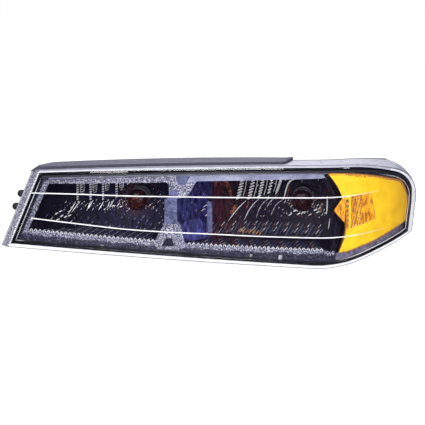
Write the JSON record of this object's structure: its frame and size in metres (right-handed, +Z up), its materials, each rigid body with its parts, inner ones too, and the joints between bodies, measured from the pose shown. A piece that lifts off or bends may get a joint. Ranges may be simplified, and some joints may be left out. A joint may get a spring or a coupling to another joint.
{
  "type": "car headlight assembly",
  "caption": "Slim wrap-around front lamp with a clear lens over two dark fluted reflector bays, an amber side marker, twist-out bulbs and a rear aim adjuster.",
  "frame": {"origin": "middle of the free M6 shank of the inboard pivot stud, at the back of the lamp", "axes": "+X outboard along the lens, +Y rearward into the car, +Z up"},
  "size_m": [0.5116, 0.191, 0.1324],
  "materials": {
    "clear_lens": "clear gloss polycarbonate",
    "sealant": "matte",
    "housing_black": "moulded, fine grain",
    "bezel_silver": "spark-textured silver paint on plastic",
    "dark_chrome": "smoked mirror",
    "bright_chrome": "mirror",
    "amber_lens": "translucent amber plastic",
    "foam_black": "ribbed matte foam rubber",
    "rubber_black": "matte",
    "zinc_steel": "bright zinc plate",
    "nylon_white": "natural nylon",
    "nylon_grey": "moulded nylon",
    "holder_grey": "moulded, fine grain",
    "brass": "tin-flashed brass",
    "bulb_amber": "amber-coated glass",
    "bulb_plastic": "moulded",
    "tungsten": "drawn wire",
    "membrane": "pressed fibre"
  },
  "bodies": {
    "lamp": {"outer_lens": "clear_lens", "lens_seal": "sealant", "housing": "housing_black", "bezel": "bezel_silver", "reflector_inboard": "dark_chrome", "reflector_outboard": "dark_chrome", "marker_lens": "amber_lens", "reflector_marker": "bright_chrome", "top_weatherstrip": "foam_black", "bumper_studs": "rubber_black", "bezel_screws": "zinc_steel", "vent_cap_inboard": "rubber_black", "vent_membrane_inboard": "membrane", "vent_cap_outboard": "rubber_black", "vent_membrane_outboard": "membrane", "pivot_socket_inboard": "nylon_white", "pivot_socket_outboard": "nylon_white", "adjuster_block": "nylon_white", "adjuster_screws": "zinc_steel"},
    "holder_inboard": {"holder_inboard": "holder_grey", "gasket_inboard": "rubber_black", "terminals_inboard": "brass", "bulb_inboard": "bulb_amber", "filament_inboard": "tungsten", "bulb_base_inboard": "bulb_plastic"},
    "holder_outboard": {"holder_outboard": "holder_grey", "gasket_outboard": "rubber_black", "terminals_outboard": "brass", "bulb_outboard": "bulb_amber", "filament_outboard": "tungsten", "bulb_base_outboard": "bulb_plastic"},
    "holder_marker": {"holder_marker": "holder_grey", "gasket_marker": "rubber_black", "terminals_marker": "brass", "bulb_marker": "bulb_amber", "filament_marker": "tungsten"},
    "pivot_stud_inboard": {"pivot_stud_inboard": "zinc_steel"},
    "pivot_stud_outboard": {"pivot_stud_outboard": "zinc_steel"},
    "aim_wheel": {"aim_wheel": "nylon_grey"},
    "aim_rod": {"aim_rod": "zinc_steel"}
  },
  "joints": [
    {"name": "holder_inboard_twist", "type": "hinge", "parent": "lamp", "child": "holder_inboard", "pos_m": [0.0965, -0.08, -0.018], "axis": [0, 1, 0], "range_deg": [0, 35]},
    {"name": "holder_outboard_twist", "type": "hinge", "parent": "lamp", "child": "holder_outboard", "pos_m": [0.299, -0.045, -0.022], "axis": [0, 1, 0], "range_deg": [0, 35]},
    {"name": "holder_marker_twist", "type": "hinge", "parent": "lamp", "child": "holder_marker", "pos_m": [0.368, -0.033, -0.034], "axis": [0, 1, 0], "range_deg": [0, 35]},
    {"name": "aim_wheel_turn", "type": "hinge", "parent": "lamp", "child": "aim_wheel", "pos_m": [0.2, -0.045, -0.07], "axis": [0, 1, 0], "range_deg": [-722, 722]},
    {"name": "aim_rod_slide", "type": "slide", "parent": "lamp", "child": "aim_rod", "axis": [0, 1, 0], "range_m": [-0.003, 0.003]},
    {"name": "pivot_inboard_tilt", "type": "hinge", "parent": "lamp", "child": "pivot_stud_inboard", "pos_m": [0, -0.019, 0], "axis": [1, 0, 0], "range_deg": [-2.47, 2.47]},
    {"name": "pivot_outboard_tilt", "type": "hinge", "parent": "lamp", "child": "pivot_stud_outboard", "pos_m": [0.37, -0.019, 0], "axis": [1, 0, 0], "range_deg": [-2.47, 2.47]}
  ],
  "couplings": [
    {"joint": "aim_wheel_turn", "follows": "aim_rod_slide", "rad_per_m": 4188.8},
    {"joint": "pivot_inboard_tilt", "follows": "aim_rod_slide", "rad_per_m": 14.286},
    {"joint": "pivot_outboard_tilt", "follows": "aim_rod_slide", "rad_per_m": 14.286}
  ]
}
